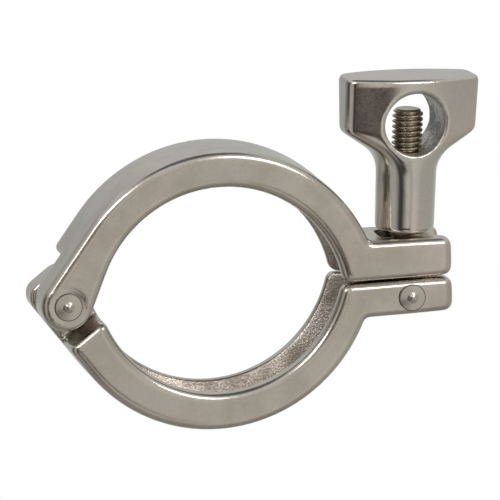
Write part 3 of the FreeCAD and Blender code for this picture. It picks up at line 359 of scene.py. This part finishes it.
# A casting's soft copy: the solid is remeshed evenly and relaxed in and out, which rounds edges and leaves
# flats where they are.  Then it is reshaped, and relaxed again by the weight of hand grinding there.
def softCopy(node, name, finish, material, weight, reshape):
    source = nodes[node].copy()
    source.data = nodes[node].data.copy()
    bpy.context.scene.collection.objects.link(source)
    weld = source.modifiers.new("weld", "WELD")
    weld.merge_threshold = softening["weld"] * mm
    remesh = source.modifiers.new("remesh", "REMESH")
    remesh.mode = "VOXEL"
    remesh.voxel_size = finish["voxel"] * mm
    remesh.use_smooth_shade = True
    graph = bpy.context.evaluated_depsgraph_get()
    mesh = bpy.data.meshes.new_from_object(source.evaluated_get(graph))
    bpy.data.objects.remove(source)
    points = np.empty(len(mesh.vertices) * 3)
    mesh.vertices.foreach_get("co", points)
    points = points.reshape(-1, 3)
    edges = np.empty(len(mesh.edges) * 2, np.int32)
    mesh.edges.foreach_get("vertices", edges)
    edges = edges.reshape(-1, 2)
    counts = np.bincount(edges.ravel(), minlength=len(points)).astype(float)
    for _ in range(finish["rounds"]):
        points = relax(points, edges, counts, softening["inwards"])
        points = relax(points, edges, counts, softening["outwards"])
    for _ in range(softening["plainRounds"]):
        points = relax(points, edges, counts, softening["plainShare"])
    if reshape is not None:
        points = reshape(points)
    share = softening["groundShare"] * weight(points)[:, None]
    for _ in range(finish["groundRounds"]):
        points = relax(points, edges, counts, share)
    mesh.vertices.foreach_set("co", points.ravel())
    mesh.update()
    mesh.materials.clear()
    mesh.materials.append(material)
    mesh.polygons.foreach_set("use_smooth", np.ones(len(mesh.polygons), bool))
    return putInScene(name, mesh)


halfCasting = {
    # mm and degrees; a lean is of the half's own X axis, positive downwards
    "hingeRadius": 40.9, "upperLean": 5.1, "lowerLean": -10.8, "grooveFloor": 39.2, "halfMouth": 6.4,
    "floorSpan": (0.5, 0.3), "mouthSpan": (0.1, -0.2),     # the rough skin's edges, out from floor and mouth
    "voxel": 0.4, "rounds": 8, "groundRounds": 36,
    "earFrom": 53.0, "earTo": 58.0, "earShare": 0.4,       # along X
    "recessRadius": 5.4, "recessDepth": 0.75, "recessFill": 0.62, "pinRadius": 2.9,
    "bump": 0.9,
    "skin": {"Tone": (0.62, 0.588, 0.548, 1), "Stain": (0.43, 0.40, 0.33, 1), "Stain Amount": 0.45,
             "Pores": 0.28, "Roughness": 0.20, "Roughness Drift": 0.12, "Wave Height": 0.022,
             "Grain Height": 0.009, "Grain Scale": 1500.0},
    # The sand paints highlights: near-white spots of colour on the groove's rough skin.
    "sandAndPaintedLight": {"Tone": (0.55, 0.49, 0.435, 1), "Pit Tone": (0.16, 0.125, 0.09, 1),
             "Painted Glint Tone": (0.98, 0.92, 0.88, 1), "Roughness": 0.30, "Lump Height": 0.16,
             "Lump Scale": 1900.0},
}


# Flange centre of a half ring: the hinge pin's place moved by the hinge radius along the half's own X axis,
# whose direction is (cos lean, 0, -sin lean).
def flangeCentre(lean):
    turn = math.radians(lean)
    return hingePoint + halfCasting["hingeRadius"] * mm * np.array([math.cos(turn), 0, -math.sin(turn)])


# 1 inside the flange groove of a half ring: nearer to the flange axis than the groove's floor, times between
# the two lips.
def grooveMask(centre):
    def build(net):
        radius, along = net.aroundTube(centre)
        floor = ((halfCasting["grooveFloor"] + out) * mm for out in halfCasting["floorSpan"])
        mouth = ((halfCasting["halfMouth"] + out) * mm for out in halfCasting["mouthSpan"])
        between = net.ramp(net.math("ABSOLUTE", along), *mouth)
        return net.math("MULTIPLY", net.ramp(radius, *floor), between)
    return build


# The ears' ends are ground rounder than the arms: the weight grows evenly from earFrom to earTo.
def earWeight(points):
    along = (points[:, 0] / mm - halfCasting["earFrom"]) / (halfCasting["earTo"] - halfCasting["earFrom"])
    return halfCasting["earShare"] * np.clip(along, 0, 1)


# The recess round each end of the hinge pin is a shallow one: points in it that lie below the cheek's face
# come up by the filled share of their depth.
def shallowRecess(points):
    reach = np.hypot(points[:, 0] - hingePoint[0], points[:, 2] - hingePoint[2]) / mm
    face = np.abs(points[:, 1]).max()
    inside = (reach < halfCasting["recessRadius"]) & (reach > halfCasting["pinRadius"])
    inside &= np.abs(points[:, 1]) > face - halfCasting["recessDepth"] * mm
    raised = face - (face - np.abs(points[:, 1])) * (1 - halfCasting["recessFill"])
    out = points.copy()
    out[:, 1] = np.where(inside, np.sign(points[:, 1]) * raised, points[:, 1])
    return out


dress("upper_half", metal("UpperCasting", halfCasting, grooveMask(flangeCentre(halfCasting["upperLean"]))))
dress("lower_half", metal("LowerCasting", halfCasting, grooveMask(flangeCentre(halfCasting["lowerLean"]))))

nutCasting = {
    # mm and degrees; heights are over the bolt pin
    "windowHeight": 44.8, "windowRadius": 8.05, "turn": 4.5,
    "sandSpan": (0.8, 0.04),          # the rough skin's edge, out from the window's radius
    "voxel": 0.29, "rounds": 12, "groundRounds": 320,
    "faceLean": 3.8, "faceFrom": 36.0, "faceFade": 4.0, "faceMiddle": 50.0, "sideBlend": 1.5,
    "creaseFrom": 26.5, "creaseTo": 43.5, "skinFrom": 3.5, "skinTo": 6.0, "skinLeast": 0.15,
    "rimReach": 2.4, "rimBelt": 1.7, "rimCrest": 1.3, "rimShare": 0.12,
    "endFrom": 15.0, "endTo": 18.5, "endShare": 0.03,
    "bump": 0.8,
    "skin": {"Tone": (0.635, 0.612, 0.575, 1), "Stain": (0.46, 0.41, 0.36, 1), "Stain Amount": 0.18,
             "Pores": 0.26, "Roughness": 0.135, "Roughness Drift": 0.10, "Wave Height": 0.016,
             "Grain Height": 0.007, "Grain Scale": 1700.0},
    # The sand keeps the group's default near-white spots, painted highlights on the window's wall.
    "sandAndPaintedLight": {"Tone": (0.60, 0.58, 0.55, 1), "Pit Tone": (0.22, 0.20, 0.18, 1), "Roughness": 0.46,
             "Lump Height": 0.22, "Lump Scale": 1000.0},
}
nutTurn = math.radians(nutCasting["turn"])
windowCentre = boltPivot + nutCasting["windowHeight"] * mm * boltAxis
windowDirection = math.cos(nutTurn) * tubeAxis - math.sin(nutTurn) * boltAcross


# 1 on the wall of the nut's window: where the cross product of place and the window's direction is short.
def windowMask(net):
    place = net.vector("SUBTRACT", net.objectPlace(), tuple(windowCentre))
    across = net.vector("LENGTH", net.vector("CROSS_PRODUCT", place, tuple(windowDirection)))
    return net.ramp(across, *((nutCasting["windowRadius"] + out) * mm for out in nutCasting["sandSpan"]))


# A bump between two values: the square of 4t(1 - t), where t is 0 at the low value and 1 at the high one.
def bumpBetween(value, low, high):
    t = np.clip((value - low) / (high - low), 0, 1)
    return (4 * t * (1 - t)) ** 2


# Where the nut is ground by hand: the largest of a bump over the heights where its head runs into its barrel,
# a belt on both sides of the window's radius, and a rise towards the two ends of the head.
def creaseWeight(points):
    place = points - boltPivot
    height = place @ boltAxis / mm
    belt = bumpBetween(height, nutCasting["creaseFrom"], nutCasting["creaseTo"])
    across = np.linalg.norm(np.cross(points - windowCentre, windowDirection), axis=1) / mm
    offRim = across - nutCasting["windowRadius"]
    rim = np.clip(nutCasting["rimCrest"] - np.abs(offRim) / nutCasting["rimBelt"], 0, 1)
    outward = np.abs(place @ windowDirection) / mm
    skin = (outward - nutCasting["skinFrom"]) / (nutCasting["skinTo"] - nutCasting["skinFrom"])
    belt = belt * np.clip(skin, nutCasting["skinLeast"], 1) * np.clip(offRim / nutCasting["rimReach"], 0, 1)
    endwise = np.abs(np.cross(boltAxis, windowDirection) @ place.T) / mm
    end = np.clip((endwise - nutCasting["endFrom"]) / (nutCasting["endTo"] - nutCasting["endFrom"]), 0, 1)
    return np.maximum.reduce([belt, nutCasting["rimShare"] * rim, nutCasting["endShare"] * end])


# The polished faces of the head lean out towards the top: a face moves from the middle plane by its height
# over faceMiddle times the tangent of the lean.  From faceFrom the move fades in over faceFade.
def leanHead(points):
    height = (points - boltPivot) @ boltAxis / mm
    side = np.tanh((points - boltPivot) @ windowDirection / (nutCasting["sideBlend"] * mm))
    fade = np.clip((height - nutCasting["faceFrom"]) / nutCasting["faceFade"], 0, 1)
    rise = np.maximum(height, nutCasting["faceFrom"]) - nutCasting["faceMiddle"]
    shift = side * fade * rise * math.tan(math.radians(nutCasting["faceLean"])) * mm
    return points + shift[:, None] * windowDirection


dress("wing_nut", metal("NutCasting", nutCasting, windowMask))
print("castings dressed")

castings = (
    ("wing_nut", "nut_casting", "nut", "nut_casting", nutCasting, creaseWeight, leanHead),
    ("upper_half", "upper_casting", "upper_clamp", "half_casting", halfCasting, earWeight, shallowRecess),
    ("lower_half", "lower_casting", "lower_clamp", "half_casting", halfCasting, earWeight, None),
)
for node, name, body, slot, finish, weight, reshape in castings:
    piece = softCopy(node, name, finish, nodes[node].data.materials[0], weight, reshape)
    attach(piece, body)
    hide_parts(node)
    print(name, "softened:", len(piece.data.polygons), "faces")

rivetHead = {
    # mm; for each rivet the radius and the height of its heads, then what both share
    "heads": {"hinge_pin": (3.62, 1.07), "bolt_pin": (3.5, 1.32)},
    "materials": {"hinge_pin": "HingeRivetSteel", "bolt_pin": "BoltRivetSteel"},
    "fall": 0.26, "dome": 1.8, "domeHeight": 0.62, "shank": 2.4,
    "rimWidth": 0.12, "shoulder": ((0.03, 0.02), (0.0, 0.1)),     # in from the edge and down from the rim
    "shadedSeam": 0.34, "shadedSeamFull": 0.4,                                # the mask is full at this share of it
    "poleRadius": 0.02, "domeRows": 26, "ringRows": 8, "around": 96,
    "bump": 0.7,
    "skin": {"Tone": (0.585, 0.56, 0.52, 1), "Stain": (0.36, 0.32, 0.27, 1), "Stain Amount": 0.25,
             "Pores": 0.18, "Roughness": 0.25, "Roughness Drift": 0.08, "Wave Height": 0.015,
             "Grain Height": 0.004, "Grain Scale": 2200.0},
    # This sand is painted shade: a dark rough band at the head's edge for the shade of the gap round it, with
    # dim painted glints.
    "sandAndPaintedLight": {"Tone": (0.20, 0.175, 0.14, 1), "Pit Tone": (0.10, 0.08, 0.06, 1),
             "Painted Glint Tone": (0.3, 0.27, 0.22, 1), "Roughness": 0.45, "Lump Height": 0.03,
             "Lump Scale": 2500.0},
}


# 1 in the painted shade round a rivet head, a dark band that stands for the shade of the gap at its edge,
# rising outwards from the band's width inside the head's edge.
def shadedSeamMask(centre, radius, finish):
    def build(net):
        reach, _ = net.aroundTube(centre)
        shadedSeam = finish["shadedSeam"]
        return net.ramp(reach, (radius - shadedSeam) * mm, (radius - shadedSeam * finish["shadedSeamFull"]) * mm)
    return build


# A rivet turned about its own axis: each head is a low ring that rises by the fall towards its dome, and a
# dome of height times the squared cosine of a quarter turn over its radius; a plain shank joins the heads.
def domedRivet(node, finish):
    corners = np.array([corner[:] for corner in nodes[node].bound_box])
    low, high = corners.min(axis=0), corners.max(axis=0)
    middle, half = (low + high) / 2, (high[1] - low[1]) / 2 / mm
    (radius, top), dome = finish["heads"][node], finish["dome"]
    rim = top - finish["fall"] - finish["domeHeight"]
    domeRadii = np.linspace(finish["poleRadius"], dome, finish["domeRows"])
    ringRadii = np.linspace(dome, radius - finish["rimWidth"], finish["ringRows"])[1:]
    radii = np.concatenate([domeRadii, ringRadii])
    base = rim + finish["fall"] * np.clip((radius - radii) / (radius - dome), 0, 1)
    rise = finish["domeHeight"] * np.cos(np.pi / 2 * np.minimum(radii / dome, 1)) ** 2
    depth = top - base - rise
    shoulder = [[radius - inward, top - rim + down] for inward, down in finish["shoulder"]]
    edge = np.array([*shoulder, [radius, top], [finish["shank"], top]])
    front = np.concatenate([np.stack([radii, depth], axis=-1), edge])
    back = np.stack([front[::-1, 0], 2 * half - front[::-1, 1]], axis=-1)
    profile = np.concatenate([front, back])
    angle = np.linspace(0, 2 * math.pi, finish["around"], endpoint=False)
    reach, turn = np.meshgrid(profile[:, 0], angle, indexing="ij")
    along = np.repeat(profile[:, 1][:, None], len(angle), axis=1) - half
    points = middle + mm * np.stack([reach * np.cos(turn), along, reach * np.sin(turn)], axis=-1)
    material = metal(finish["materials"][node], finish, shadedSeamMask(middle, radius, finish))
    return gridMesh(node + "_turned", points, material)


for rivet in rivetHead["heads"]:
    piece = domedRivet(rivet, rivetHead)
    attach(piece, "lower_clamp")
    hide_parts(rivet)
print("rivets turned")

swingBolt = {
    # mm; the crest and the root are shares of a half pitch
    "pitch": 1.411, "majorRadius": 3.97, "threadDepth": 0.84, "crest": 0.27, "root": 0.13, "rootRound": 0.35,
    "length": 47.8, "threadFrom": 10.5, "runOut": 2.2, "tipChamfer": 0.95,
    "tipRows": ((0.93, 0.05), (0.8, 0.02), (0.4, -0.03), (0.02, -0.05)),  # share of the tip's radius, rise
    "around": 84, "perPitch": 16, "plainRows": 14,
    "eyeRadius": 4.9, "eyeWidth": 8.8, "holeRadius": 2.45, "eyeRound": 0.8, "holeRound": 0.25,
    "eyeAround": 96, "cornerRows": 9,
    "bump": 0.7,
    "skin": {"Tone": (0.56, 0.505, 0.42, 1), "Stain": (0.26, 0.21, 0.14, 1), "Stain Amount": 0.5,
             "Pores": 0.35, "Roughness": 0.22, "Roughness Drift": 0.1, "Wave Height": 0.010,
             "Grain Height": 0.006, "Grain Scale": 2600.0},
}


# From the bolt's own frame to the row frame: pivot + x across the bolt + y along the tube + z up the bolt.
def onBolt(x, y, z):
    return boltPivot + x[..., None] * mm * boltAcross + y[..., None] * mm * tubeAxis \
        + z[..., None] * mm * boltAxis


# Screw thread: the radius at height z and angle a is the major radius less the depth of a rounded V at the
# phase (z - pitch * a / 2 pi) / pitch, faded in over the run-out and cut by the cone of the tip.
def threadedShank(finish):
    pitch, major, length = finish["pitch"], finish["majorRadius"], finish["length"]
    step = pitch / finish["perPitch"]
    height = np.concatenate([
        np.linspace(0, finish["threadFrom"] - step, finish["plainRows"]),
        np.arange(finish["threadFrom"], length - step * 0.5, step),
        [length],
    ])
    angle = np.linspace(0, 2 * math.pi, finish["around"], endpoint=False)
    z, a = np.meshgrid(height, angle, indexing="ij")
    phase = (z / pitch - a / (2 * math.pi)) % 1.0
    flank = np.abs(phase - 0.5) * 2                      # 1 on the crest and 0 in the root
    groove = np.clip((1 - finish["crest"] - flank) / (1 - finish["crest"] - finish["root"]), 0, 1)
    groove = groove * (1 - finish["rootRound"] * groove * (1 - groove))
    fade = np.clip((z - finish["threadFrom"]) / finish["runOut"], 0, 1)
    radius = major - finish["threadDepth"] * groove * fade * fade * (3 - 2 * fade)
    tipCone = major - finish["tipChamfer"] + (length - z)
    radius = np.minimum(radius, tipCone)
    rows = np.stack([radius * np.cos(a), radius * np.sin(a), z], axis=-1)
    lid = [np.stack([radius[-1] * share * np.cos(angle), radius[-1] * share * np.sin(angle),
                     np.full_like(angle, length + rise)], axis=-1) for share, rise in finish["tipRows"]]
    rows = np.concatenate([rows, np.array(lid)], axis=0)
    return gridMesh("bolt_thread", onBolt(*np.moveaxis(rows, -1, 0)), metal("BoltSteel", finish))


# The eye: a ring about the bolt pin whose section is a rectangle with a quarter circle at each corner.
def boltEye(finish, material):
    outer, inner, half = finish["eyeRadius"], finish["holeRadius"], finish["eyeWidth"] / 2
    wide, fine = finish["eyeRound"], finish["holeRound"]
    section = []
    for middle, level, start, size in (
            (outer - wide, half - wide, 0, wide), (inner + fine, half - fine, 90, fine),
            (inner + fine, -half + fine, 180, fine), (outer - wide, -half + wide, 270, wide)):
        turn = np.radians(np.linspace(start, start + 90, finish["cornerRows"]))
        section.append(np.stack([middle + size * np.cos(turn), level + size * np.sin(turn)], axis=-1))
    section = np.concatenate(section)
    angle = np.linspace(0, 2 * math.pi, finish["eyeAround"], endpoint=False)
    reach, turn = np.meshgrid(section[:, 0], angle, indexing="ij")
    along = np.repeat(section[:, 1][:, None], len(angle), axis=1)
    points = onBolt(reach * np.cos(turn), along, reach * np.sin(turn))
    return gridMesh("bolt_eye", points, material, closeRows=True)


thread = threadedShank(swingBolt)
eye = boltEye(swingBolt, thread.data.materials[0])
for piece in (thread, eye):
    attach(piece, "bolt")
    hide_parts("swing_bolt")
print("bolt threaded:", len(thread.data.polygons), "faces")

studio = {
    # the camera: degrees, metres, and mm for its target, its lens and its sensor
    "azimuth": -13.5, "elevation": 12.4, "distance": 1.8, "farthest": 20.0,
    "target": (8.7, 0.0, 8.3), "lens": 502.848, "sensorWidth": 36.0,
    # each soft box: azimuth, elevation, distance, width, height, watts, colour
    "softBoxes": {
        "leftBox": (-42, 30, 0.8, 0.42, 0.19, 1.15, (1, 1, 1)),
        "rightBox": (27, 30, 0.7, 0.28, 0.17, 0.68, (1.0, 0.95, 0.93)),
    },
    # brightness of the surround at the height of the lens, by azimuth in degrees (0 is the front)
    "surround": ((-180, 0.60), (-158, 0.50), (-140, 0.32), (-117, 0.20), (-105, 0.08), (-93, 0.10),
                 (-84, 0.26), (-76, 0.52), (-54, 0.52), (-44, 0.34), (-37, 0.07), (-26, 0.05),
                 (-19, 0.27), (-12, 0.56), (-3, 0.72), (9, 0.53), (17, 0.72), (26, 0.68), (45, 0.52),
                 (110, 0.50), (135, 0.60), (165, 0.58), (180, 0.60)),
    # the tone of the front and of the back, and the span of y over which one turns into the other
    "frontTone": (1.0, 0.96, 0.90, 1), "backTone": (0.97, 1.0, 0.98, 1), "backSpan": (0.1, 0.6),
    # zones laid over it in turn: brightness, tone, and the elevations over which each comes in
    "zones": {
        "overhead": (0.70, (1.0, 1.0, 0.99), (12.0, 40.0)),
        "under": (0.34, (1.0, 0.94, 0.86), (-25.0, -60.0)),
        "zenith": (0.16, (1.0, 1.0, 1.0), (56.0, 68.0)),
    },
    # a dark place below the lens: degrees off its own azimuth, and elevations at its top and its bottom
    "gloom": {"azimuth": -6.5, "sideSpan": (19.5, 11.5), "topSpan": (-14.5, -17.5),
              "bottomSpan": (-29.0, -23.0), "depth": 0.97, "colour": (0.03, 0.02, 0.02, 1)},
    # the floor: mm under the object, half its side in metres, and its finish
    "floorGap": 6.0, "floorHalf": 3.0, "floorColour": (0.8, 0.79, 0.77, 1), "floorRoughness": 0.9,
}
white = (1, 1, 1, 1)


# Direction from the object to something at this azimuth and elevation: azimuth 0 is the front, at -Y.
def towards(azimuth, elevation):
    a, e = math.radians(azimuth), math.radians(elevation)
    return Vector((math.sin(a) * math.cos(e), -math.cos(a) * math.cos(e), math.sin(e)))


# Set something back from the target by the distance along a direction, and turn its -Z to the target.
def lookAtTarget(thing, azimuth, elevation, distance):
    back = towards(azimuth, elevation)
    thing.location = Vector(studio["target"]) * mm + back * distance
    thing.rotation_euler = back.to_track_quat("Z", "Y").to_euler()


# A long lens from this distance: it frames a width of the sensor's times the distance over the lens.
def addCamera():
    camera = putInScene("camera", bpy.data.cameras.new("camera"))
    lookAtTarget(camera, studio["azimuth"], studio["elevation"], studio["distance"])
    camera.data.sensor_width = studio["sensorWidth"]
    camera.data.lens = studio["lens"]
    camera.data.clip_end = studio["farthest"]
    bpy.context.scene.camera = camera


# Plain white to the camera, and this shader to every other ray.
def whiteToCamera(net, shader, whiteKind):
    plain = net.add(whiteKind)
    plain.inputs["Color"].default_value = white
    choose = net.add("ShaderNodeMixShader")
    net.feed(choose.inputs[0], net.add("ShaderNodeLightPath").outputs["Is Camera Ray"])
    net.feed(choose.inputs[1], shader.outputs[0])
    net.feed(choose.inputs[2], plain.outputs[0])
    return choose.outputs[0]


# Surround of the studio: brightness by azimuth, the arctangent of x over -y, then the zones by elevation, the
# arcsine of z, and one dark place that is the product of its own three masks.
def addWorld():
    world = bpy.data.worlds.new("Studio")
    bpy.context.scene.world = world
    net = emptyNet(world)
    direction = net.vector("NORMALIZE", net.add("ShaderNodeTexCoord").outputs["Generated"])
    x, y, z = net.split(direction)
    perRadian = 180 / math.pi
    azimuth = net.math("MULTIPLY", net.math("ARCTAN2", x, net.math("MULTIPLY", y, -1.0)), perRadian)
    elevation = net.math("MULTIPLY", net.math("ARCSINE", z), perRadian)
    ramp = net.add("ShaderNodeValToRGB")
    net.feed(ramp.inputs[0], net.ramp(azimuth, -180.0, 180.0, linear=True))
    stops = ramp.color_ramp.elements
    stops.remove(stops[1])
    for place, (degrees, level) in enumerate(studio["surround"]):
        stop = stops[0] if place == 0 else stops.new((degrees + 180) / 360)
        stop.position = (degrees + 180) / 360
        stop.color = (level, level, level, 1)
    tone = net.mixColour(net.ramp(y, *studio["backSpan"]), studio["frontTone"], studio["backTone"])
    surround = net.mixColour(1.0, ramp.outputs[0], tone, "MULTIPLY")
    for level, zoneTone, span in studio["zones"].values():
        colour = (*(level * part for part in zoneTone), 1)
        surround = net.mixColour(net.ramp(elevation, *span), surround, colour)
    gloom = studio["gloom"]
    offCentre = net.math("ABSOLUTE", net.math("SUBTRACT", azimuth, gloom["azimuth"]))
    beside, below = net.ramp(offCentre, *gloom["sideSpan"]), net.ramp(elevation, *gloom["topSpan"])
    above = net.ramp(elevation, *gloom["bottomSpan"])
    dark = net.math("MULTIPLY", net.math("MULTIPLY", beside, below), above)
    surround = net.mixColour(net.math("MULTIPLY", dark, gloom["depth"]), surround, gloom["colour"])
    room = net.add("ShaderNodeBackground")
    net.feed(room.inputs["Color"], surround)
    output = net.add("ShaderNodeOutputWorld")
    net.feed(output.inputs["Surface"], whiteToCamera(net, room, "ShaderNodeBackground"))


# A rectangular soft box that looks at the object from this direction.
def addSoftBox(name, azimuth, elevation, distance, width, height, watts, colour):
    data = bpy.data.lights.new(name, "AREA")
    data.shape = "RECTANGLE"
    data.size, data.size_y = width, height
    data.energy = watts
    data.color = colour
    lookAtTarget(putInScene(name, data), azimuth, elevation, distance)


# The floor is a pale square.  It shows white to the camera, as the backdrop does, with no shadow on it, and
# the object neither mirrors it nor takes light from it.
def addFloor():
    low, half = cadLow[2] - studio["floorGap"] * mm, studio["floorHalf"]
    mesh = bpy.data.meshes.new("floor")
    mesh.from_pydata([(-half, -half, low), (half, -half, low), (half, half, low), (-half, half, low)], [],
                     [(0, 1, 2, 3)])
    floor = putInScene("floor", mesh)
    material = bpy.data.materials.new("Floor")
    net = emptyNet(material)
    shader = net.add("ShaderNodeBsdfPrincipled")
    shader.inputs["Base Color"].default_value = studio["floorColour"]
    shader.inputs["Roughness"].default_value = studio["floorRoughness"]
    output = net.add("ShaderNodeOutputMaterial")
    net.feed(output.inputs["Surface"], whiteToCamera(net, shader, "ShaderNodeEmission"))
    mesh.materials.append(material)
    floor.visible_glossy = False
    floor.visible_diffuse = False


addCamera()
addWorld()
for name, settings in studio["softBoxes"].items():
    addSoftBox(name, *settings)
addFloor()
bpy.context.scene.view_settings.view_transform = "Standard"
print("studio built")
